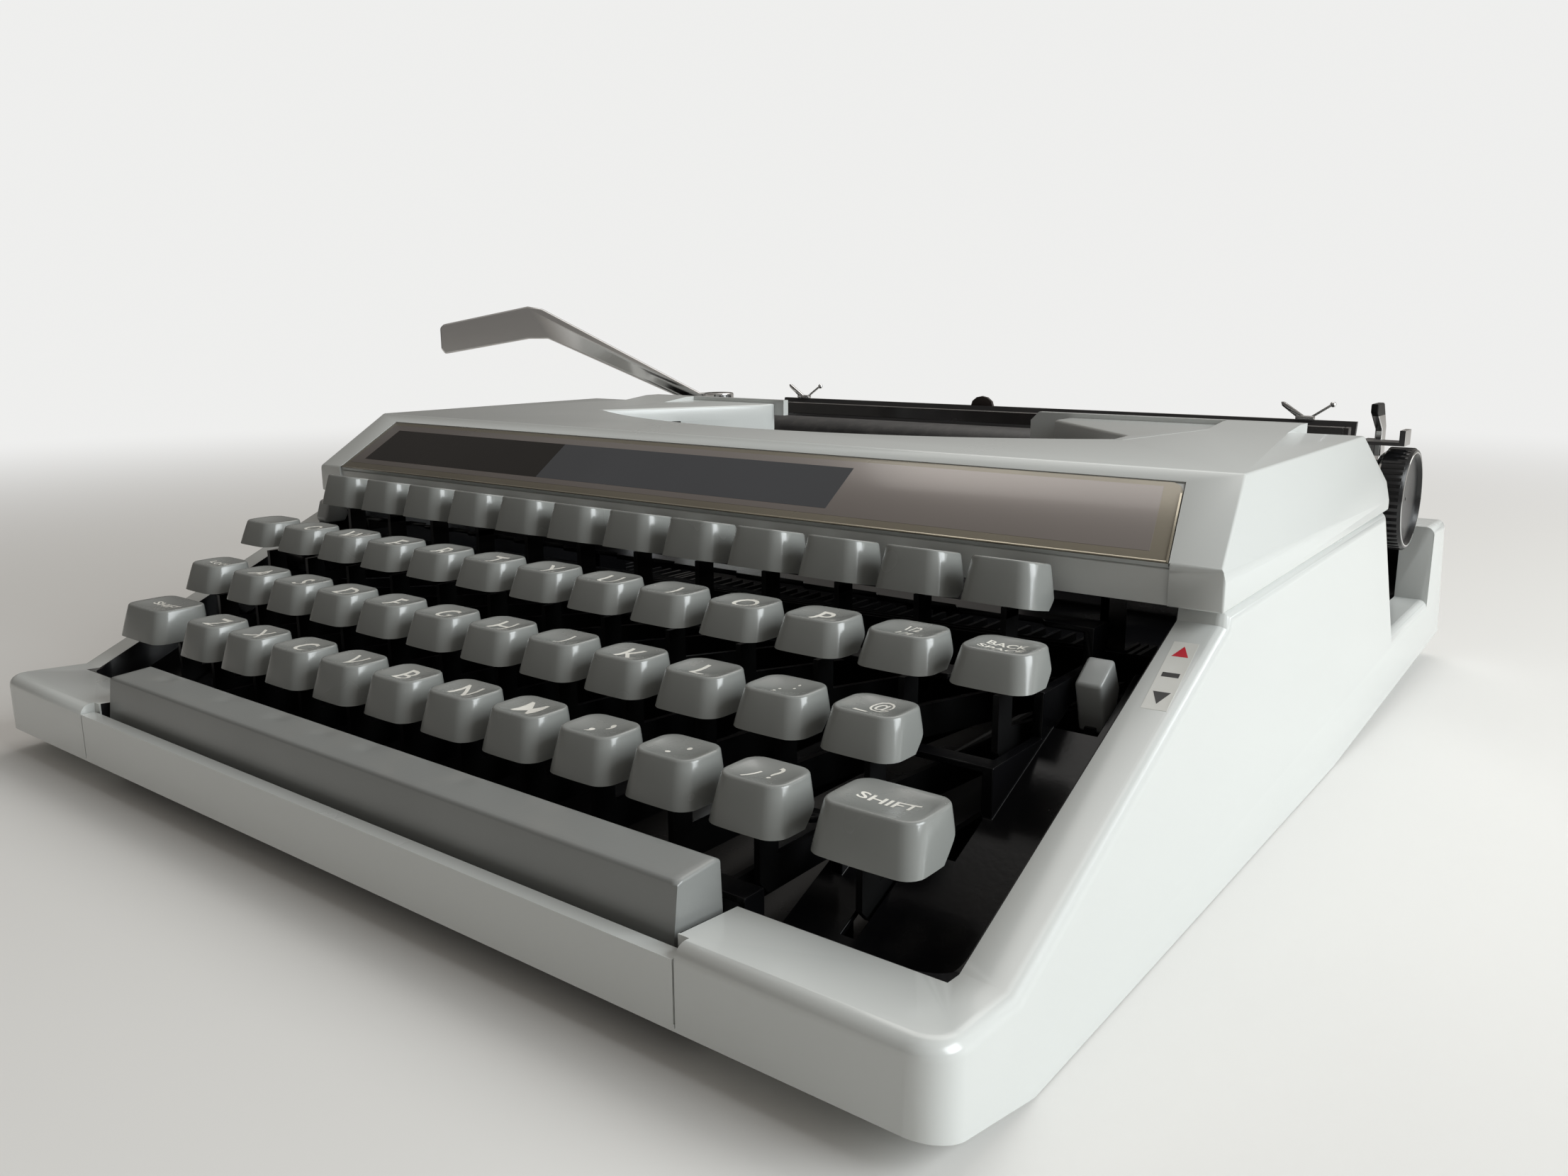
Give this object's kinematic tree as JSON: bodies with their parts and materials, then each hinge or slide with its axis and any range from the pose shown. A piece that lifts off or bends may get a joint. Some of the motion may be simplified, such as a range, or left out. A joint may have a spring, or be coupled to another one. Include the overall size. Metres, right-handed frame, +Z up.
{
  "type": "portable manual typewriter",
  "caption": "Portable manual typewriter: off-white wedge body, four rows of grey keys, lift-off cover, type basket, sliding carriage with platen and a raised return lever",
  "frame": {"origin": "on the table plane under the centre of the body's footprint, midway between its side faces", "axes": "X to the typist's right, Y from the space bar towards the platen, Z up"},
  "size_m": [0.3602, 0.32, 0.113],
  "materials": {
    "key": "satin grey moulded plastic",
    "shell": "glossy off-white moulded plastic",
    "frame": "satin black painted sheet steel",
    "basket": "bright type bars and segment",
    "carriage": "dark painted carriage frame",
    "rubber": "black rubber roller with black plastic knobs",
    "bail": "black painted bar",
    "chrome": "polished chrome",
    "lever_grey": "grey plastic cap"
  },
  "bodies": {
    "body": {"base_shell": "shell", "chassis_frame": "frame", "type_basket": "basket"},
    "ribbon_cover": {"ribbon_cover": "shell"},
    "carriage": {"carriage": "carriage"},
    "platen": {"platen": "rubber"},
    "paper_bail": {"paper_bail": "bail"},
    "return_lever": {"return_lever": "chrome"},
    "paper_release_lever": {"paper_release_lever": "chrome"},
    "colour_selector": {"colour_selector": "lever_grey"},
    "left_lever": {"left_lever": "lever_grey"},
    "key_num_01": {"key_num_01": "key"},
    "key_num_02": {"key_num_02": "key"},
    "key_num_03": {"key_num_03": "key"},
    "key_num_04": {"key_num_04": "key"},
    "key_num_05": {"key_num_05": "key"},
    "key_num_06": {"key_num_06": "key"},
    "key_num_07": {"key_num_07": "key"},
    "key_num_08": {"key_num_08": "key"},
    "key_num_09": {"key_num_09": "key"},
    "key_num_10": {"key_num_10": "key"},
    "key_num_11": {"key_num_11": "key"},
    "key_num_12": {"key_num_12": "key"},
    "key_q": {"key_q": "key"},
    "key_w": {"key_w": "key"},
    "key_e": {"key_e": "key"},
    "key_r": {"key_r": "key"},
    "key_t": {"key_t": "key"},
    "key_y": {"key_y": "key"},
    "key_u": {"key_u": "key"},
    "key_i": {"key_i": "key"},
    "key_o": {"key_o": "key"},
    "key_p": {"key_p": "key"},
    "key_fraction": {"key_fraction": "key"},
    "key_a": {"key_a": "key"},
    "key_s": {"key_s": "key"},
    "key_d": {"key_d": "key"},
    "key_f": {"key_f": "key"},
    "key_g": {"key_g": "key"},
    "key_h": {"key_h": "key"},
    "key_j": {"key_j": "key"},
    "key_k": {"key_k": "key"},
    "key_l": {"key_l": "key"},
    "key_semicolon": {"key_semicolon": "key"},
    "key_at": {"key_at": "key"},
    "key_z": {"key_z": "key"},
    "key_x": {"key_x": "key"},
    "key_c": {"key_c": "key"},
    "key_v": {"key_v": "key"},
    "key_b": {"key_b": "key"},
    "key_n": {"key_n": "key"},
    "key_m": {"key_m": "key"},
    "key_comma": {"key_comma": "key"},
    "key_period": {"key_period": "key"},
    "key_slash": {"key_slash": "key"},
    "key_margin_release": {"key_margin_release": "key"},
    "key_backspace": {"key_backspace": "key"},
    "key_shift_lock": {"key_shift_lock": "key"},
    "key_shift_pair": {"key_shift_pair": "key"},
    "key_space_bar": {"key_space_bar": "key"}
  },
  "joints": [
    {"name": "carriage_travel", "type": "slide", "parent": "body", "child": "carriage", "axis": [1, 0, 0], "range_m": [-0.1, 0.1]},
    {"name": "cover_lift", "type": "slide", "parent": "body", "child": "ribbon_cover", "axis": [0, 0, 1], "range_m": [0, 0.08]},
    {"name": "bail_swing", "type": "hinge", "parent": "carriage", "child": "paper_bail", "pos_m": [0, 0.099, 0.046], "axis": [1, 0, 0], "range_deg": [0, 30]},
    {"name": "platen_turn", "type": "hinge", "parent": "carriage", "child": "platen", "pos_m": [0, 0.112, 0.0558], "axis": [1, 0, 0], "continuous": true},
    {"name": "return_lever_swing", "type": "hinge", "parent": "carriage", "child": "return_lever", "pos_m": [-0.1295, 0.114, 0.076], "axis": [0, 0, 1], "range_deg": [0, 24], "stiffness_Nm_per_rad": 0.05, "springref_deg": -17.19},
    {"name": "paper_release_tilt", "type": "hinge", "parent": "carriage", "child": "paper_release_lever", "pos_m": [0.1226, 0.118, 0.064], "axis": [1, 0, 0], "range_deg": [0, 14]},
    {"name": "colour_selector_tilt", "type": "hinge", "parent": "body", "child": "colour_selector", "pos_m": [0.1186, -0.073, 0.012], "axis": [1, 0, 0], "range_deg": [-8, 8]},
    {"name": "left_lever_tilt", "type": "hinge", "parent": "body", "child": "left_lever", "pos_m": [-0.1224, -0.073, 0.012], "axis": [1, 0, 0], "range_deg": [0, 9]},
    {"name": "key_space_bar", "type": "hinge", "parent": "body", "child": "key_space_bar", "pos_m": [0, 0.04, 0.014], "axis": [1, 0, 0], "range_deg": [0, 1.2], "stiffness_Nm_per_rad": 2.5, "springref_deg": -6.88},
    {"name": "key_shift_pair", "type": "hinge", "parent": "body", "child": "key_shift_pair", "pos_m": [0, 0.04, 0.014], "axis": [1, 0, 0], "range_deg": [0, 2.8], "stiffness_Nm_per_rad": 0.9, "springref_deg": -6.88},
    {"name": "key_shift_lock", "type": "hinge", "parent": "body", "child": "key_shift_lock", "pos_m": [0, 0.04, 0.014], "axis": [1, 0, 0], "range_deg": [0, 2.8], "stiffness_Nm_per_rad": 0.3, "springref_deg": -6.88},
    {"name": "key_backspace", "type": "hinge", "parent": "body", "child": "key_backspace", "pos_m": [0, 0.04, 0.014], "axis": [1, 0, 0], "range_deg": [0, 2.8], "stiffness_Nm_per_rad": 0.3, "springref_deg": -6.88},
    {"name": "key_margin_release", "type": "hinge", "parent": "body", "child": "key_margin_release", "pos_m": [0, 0.04, 0.014], "axis": [1, 0, 0], "range_deg": [0, 2.8], "stiffness_Nm_per_rad": 0.3, "springref_deg": -6.88},
    {"name": "key_num_01", "type": "hinge", "parent": "body", "child": "key_num_01", "pos_m": [0, 0.04, 0.014], "axis": [1, 0, 0], "range_deg": [0, 2.8], "stiffness_Nm_per_rad": 0.3, "springref_deg": -6.88},
    {"name": "key_num_02", "type": "hinge", "parent": "body", "child": "key_num_02", "pos_m": [0, 0.04, 0.014], "axis": [1, 0, 0], "range_deg": [0, 2.8], "stiffness_Nm_per_rad": 0.3, "springref_deg": -6.88},
    {"name": "key_num_03", "type": "hinge", "parent": "body", "child": "key_num_03", "pos_m": [0, 0.04, 0.014], "axis": [1, 0, 0], "range_deg": [0, 2.8], "stiffness_Nm_per_rad": 0.3, "springref_deg": -6.88},
    {"name": "key_num_04", "type": "hinge", "parent": "body", "child": "key_num_04", "pos_m": [0, 0.04, 0.014], "axis": [1, 0, 0], "range_deg": [0, 2.8], "stiffness_Nm_per_rad": 0.3, "springref_deg": -6.88},
    {"name": "key_num_05", "type": "hinge", "parent": "body", "child": "key_num_05", "pos_m": [0, 0.04, 0.014], "axis": [1, 0, 0], "range_deg": [0, 2.8], "stiffness_Nm_per_rad": 0.3, "springref_deg": -6.88},
    {"name": "key_num_06", "type": "hinge", "parent": "body", "child": "key_num_06", "pos_m": [0, 0.04, 0.014], "axis": [1, 0, 0], "range_deg": [0, 2.8], "stiffness_Nm_per_rad": 0.3, "springref_deg": -6.88},
    {"name": "key_num_07", "type": "hinge", "parent": "body", "child": "key_num_07", "pos_m": [0, 0.04, 0.014], "axis": [1, 0, 0], "range_deg": [0, 2.8], "stiffness_Nm_per_rad": 0.3, "springref_deg": -6.88},
    {"name": "key_num_08", "type": "hinge", "parent": "body", "child": "key_num_08", "pos_m": [0, 0.04, 0.014], "axis": [1, 0, 0], "range_deg": [0, 2.8], "stiffness_Nm_per_rad": 0.3, "springref_deg": -6.88},
    {"name": "key_num_09", "type": "hinge", "parent": "body", "child": "key_num_09", "pos_m": [0, 0.04, 0.014], "axis": [1, 0, 0], "range_deg": [0, 2.8], "stiffness_Nm_per_rad": 0.3, "springref_deg": -6.88},
    {"name": "key_num_10", "type": "hinge", "parent": "body", "child": "key_num_10", "pos_m": [0, 0.04, 0.014], "axis": [1, 0, 0], "range_deg": [0, 2.8], "stiffness_Nm_per_rad": 0.3, "springref_deg": -6.88},
    {"name": "key_num_11", "type": "hinge", "parent": "body", "child": "key_num_11", "pos_m": [0, 0.04, 0.014], "axis": [1, 0, 0], "range_deg": [0, 2.8], "stiffness_Nm_per_rad": 0.3, "springref_deg": -6.88},
    {"name": "key_num_12", "type": "hinge", "parent": "body", "child": "key_num_12", "pos_m": [0, 0.04, 0.014], "axis": [1, 0, 0], "range_deg": [0, 2.8], "stiffness_Nm_per_rad": 0.3, "springref_deg": -6.88},
    {"name": "key_q", "type": "hinge", "parent": "body", "child": "key_q", "pos_m": [0, 0.04, 0.014], "axis": [1, 0, 0], "range_deg": [0, 2.8], "stiffness_Nm_per_rad": 0.3, "springref_deg": -6.88},
    {"name": "key_w", "type": "hinge", "parent": "body", "child": "key_w", "pos_m": [0, 0.04, 0.014], "axis": [1, 0, 0], "range_deg": [0, 2.8], "stiffness_Nm_per_rad": 0.3, "springref_deg": -6.88},
    {"name": "key_e", "type": "hinge", "parent": "body", "child": "key_e", "pos_m": [0, 0.04, 0.014], "axis": [1, 0, 0], "range_deg": [0, 2.8], "stiffness_Nm_per_rad": 0.3, "springref_deg": -6.88},
    {"name": "key_r", "type": "hinge", "parent": "body", "child": "key_r", "pos_m": [0, 0.04, 0.014], "axis": [1, 0, 0], "range_deg": [0, 2.8], "stiffness_Nm_per_rad": 0.3, "springref_deg": -6.88},
    {"name": "key_t", "type": "hinge", "parent": "body", "child": "key_t", "pos_m": [0, 0.04, 0.014], "axis": [1, 0, 0], "range_deg": [0, 2.8], "stiffness_Nm_per_rad": 0.3, "springref_deg": -6.88},
    {"name": "key_y", "type": "hinge", "parent": "body", "child": "key_y", "pos_m": [0, 0.04, 0.014], "axis": [1, 0, 0], "range_deg": [0, 2.8], "stiffness_Nm_per_rad": 0.3, "springref_deg": -6.88},
    {"name": "key_u", "type": "hinge", "parent": "body", "child": "key_u", "pos_m": [0, 0.04, 0.014], "axis": [1, 0, 0], "range_deg": [0, 2.8], "stiffness_Nm_per_rad": 0.3, "springref_deg": -6.88},
    {"name": "key_i", "type": "hinge", "parent": "body", "child": "key_i", "pos_m": [0, 0.04, 0.014], "axis": [1, 0, 0], "range_deg": [0, 2.8], "stiffness_Nm_per_rad": 0.3, "springref_deg": -6.88},
    {"name": "key_o", "type": "hinge", "parent": "body", "child": "key_o", "pos_m": [0, 0.04, 0.014], "axis": [1, 0, 0], "range_deg": [0, 2.8], "stiffness_Nm_per_rad": 0.3, "springref_deg": -6.88},
    {"name": "key_p", "type": "hinge", "parent": "body", "child": "key_p", "pos_m": [0, 0.04, 0.014], "axis": [1, 0, 0], "range_deg": [0, 2.8], "stiffness_Nm_per_rad": 0.3, "springref_deg": -6.88},
    {"name": "key_fraction", "type": "hinge", "parent": "body", "child": "key_fraction", "pos_m": [0, 0.04, 0.014], "axis": [1, 0, 0], "range_deg": [0, 2.8], "stiffness_Nm_per_rad": 0.3, "springref_deg": -6.88},
    {"name": "key_a", "type": "hinge", "parent": "body", "child": "key_a", "pos_m": [0, 0.04, 0.014], "axis": [1, 0, 0], "range_deg": [0, 2.8], "stiffness_Nm_per_rad": 0.3, "springref_deg": -6.88},
    {"name": "key_s", "type": "hinge", "parent": "body", "child": "key_s", "pos_m": [0, 0.04, 0.014], "axis": [1, 0, 0], "range_deg": [0, 2.8], "stiffness_Nm_per_rad": 0.3, "springref_deg": -6.88},
    {"name": "key_d", "type": "hinge", "parent": "body", "child": "key_d", "pos_m": [0, 0.04, 0.014], "axis": [1, 0, 0], "range_deg": [0, 2.8], "stiffness_Nm_per_rad": 0.3, "springref_deg": -6.88},
    {"name": "key_f", "type": "hinge", "parent": "body", "child": "key_f", "pos_m": [0, 0.04, 0.014], "axis": [1, 0, 0], "range_deg": [0, 2.8], "stiffness_Nm_per_rad": 0.3, "springref_deg": -6.88},
    {"name": "key_g", "type": "hinge", "parent": "body", "child": "key_g", "pos_m": [0, 0.04, 0.014], "axis": [1, 0, 0], "range_deg": [0, 2.8], "stiffness_Nm_per_rad": 0.3, "springref_deg": -6.88},
    {"name": "key_h", "type": "hinge", "parent": "body", "child": "key_h", "pos_m": [0, 0.04, 0.014], "axis": [1, 0, 0], "range_deg": [0, 2.8], "stiffness_Nm_per_rad": 0.3, "springref_deg": -6.88},
    {"name": "key_j", "type": "hinge", "parent": "body", "child": "key_j", "pos_m": [0, 0.04, 0.014], "axis": [1, 0, 0], "range_deg": [0, 2.8], "stiffness_Nm_per_rad": 0.3, "springref_deg": -6.88},
    {"name": "key_k", "type": "hinge", "parent": "body", "child": "key_k", "pos_m": [0, 0.04, 0.014], "axis": [1, 0, 0], "range_deg": [0, 2.8], "stiffness_Nm_per_rad": 0.3, "springref_deg": -6.88},
    {"name": "key_l", "type": "hinge", "parent": "body", "child": "key_l", "pos_m": [0, 0.04, 0.014], "axis": [1, 0, 0], "range_deg": [0, 2.8], "stiffness_Nm_per_rad": 0.3, "springref_deg": -6.88},
    {"name": "key_semicolon", "type": "hinge", "parent": "body", "child": "key_semicolon", "pos_m": [0, 0.04, 0.014], "axis": [1, 0, 0], "range_deg": [0, 2.8], "stiffness_Nm_per_rad": 0.3, "springref_deg": -6.88},
    {"name": "key_at", "type": "hinge", "parent": "body", "child": "key_at", "pos_m": [0, 0.04, 0.014], "axis": [1, 0, 0], "range_deg": [0, 2.8], "stiffness_Nm_per_rad": 0.3, "springref_deg": -6.88},
    {"name": "key_z", "type": "hinge", "parent": "body", "child": "key_z", "pos_m": [0, 0.04, 0.014], "axis": [1, 0, 0], "range_deg": [0, 2.8], "stiffness_Nm_per_rad": 0.3, "springref_deg": -6.88},
    {"name": "key_x", "type": "hinge", "parent": "body", "child": "key_x", "pos_m": [0, 0.04, 0.014], "axis": [1, 0, 0], "range_deg": [0, 2.8], "stiffness_Nm_per_rad": 0.3, "springref_deg": -6.88},
    {"name": "key_c", "type": "hinge", "parent": "body", "child": "key_c", "pos_m": [0, 0.04, 0.014], "axis": [1, 0, 0], "range_deg": [0, 2.8], "stiffness_Nm_per_rad": 0.3, "springref_deg": -6.88},
    {"name": "key_v", "type": "hinge", "parent": "body", "child": "key_v", "pos_m": [0, 0.04, 0.014], "axis": [1, 0, 0], "range_deg": [0, 2.8], "stiffness_Nm_per_rad": 0.3, "springref_deg": -6.88},
    {"name": "key_b", "type": "hinge", "parent": "body", "child": "key_b", "pos_m": [0, 0.04, 0.014], "axis": [1, 0, 0], "range_deg": [0, 2.8], "stiffness_Nm_per_rad": 0.3, "springref_deg": -6.88},
    {"name": "key_n", "type": "hinge", "parent": "body", "child": "key_n", "pos_m": [0, 0.04, 0.014], "axis": [1, 0, 0], "range_deg": [0, 2.8], "stiffness_Nm_per_rad": 0.3, "springref_deg": -6.88},
    {"name": "key_m", "type": "hinge", "parent": "body", "child": "key_m", "pos_m": [0, 0.04, 0.014], "axis": [1, 0, 0], "range_deg": [0, 2.8], "stiffness_Nm_per_rad": 0.3, "springref_deg": -6.88},
    {"name": "key_comma", "type": "hinge", "parent": "body", "child": "key_comma", "pos_m": [0, 0.04, 0.014], "axis": [1, 0, 0], "range_deg": [0, 2.8], "stiffness_Nm_per_rad": 0.3, "springref_deg": -6.88},
    {"name": "key_period", "type": "hinge", "parent": "body", "child": "key_period", "pos_m": [0, 0.04, 0.014], "axis": [1, 0, 0], "range_deg": [0, 2.8], "stiffness_Nm_per_rad": 0.3, "springref_deg": -6.88},
    {"name": "key_slash", "type": "hinge", "parent": "body", "child": "key_slash", "pos_m": [0, 0.04, 0.014], "axis": [1, 0, 0], "range_deg": [0, 2.8], "stiffness_Nm_per_rad": 0.3, "springref_deg": -6.88}
  ]
}
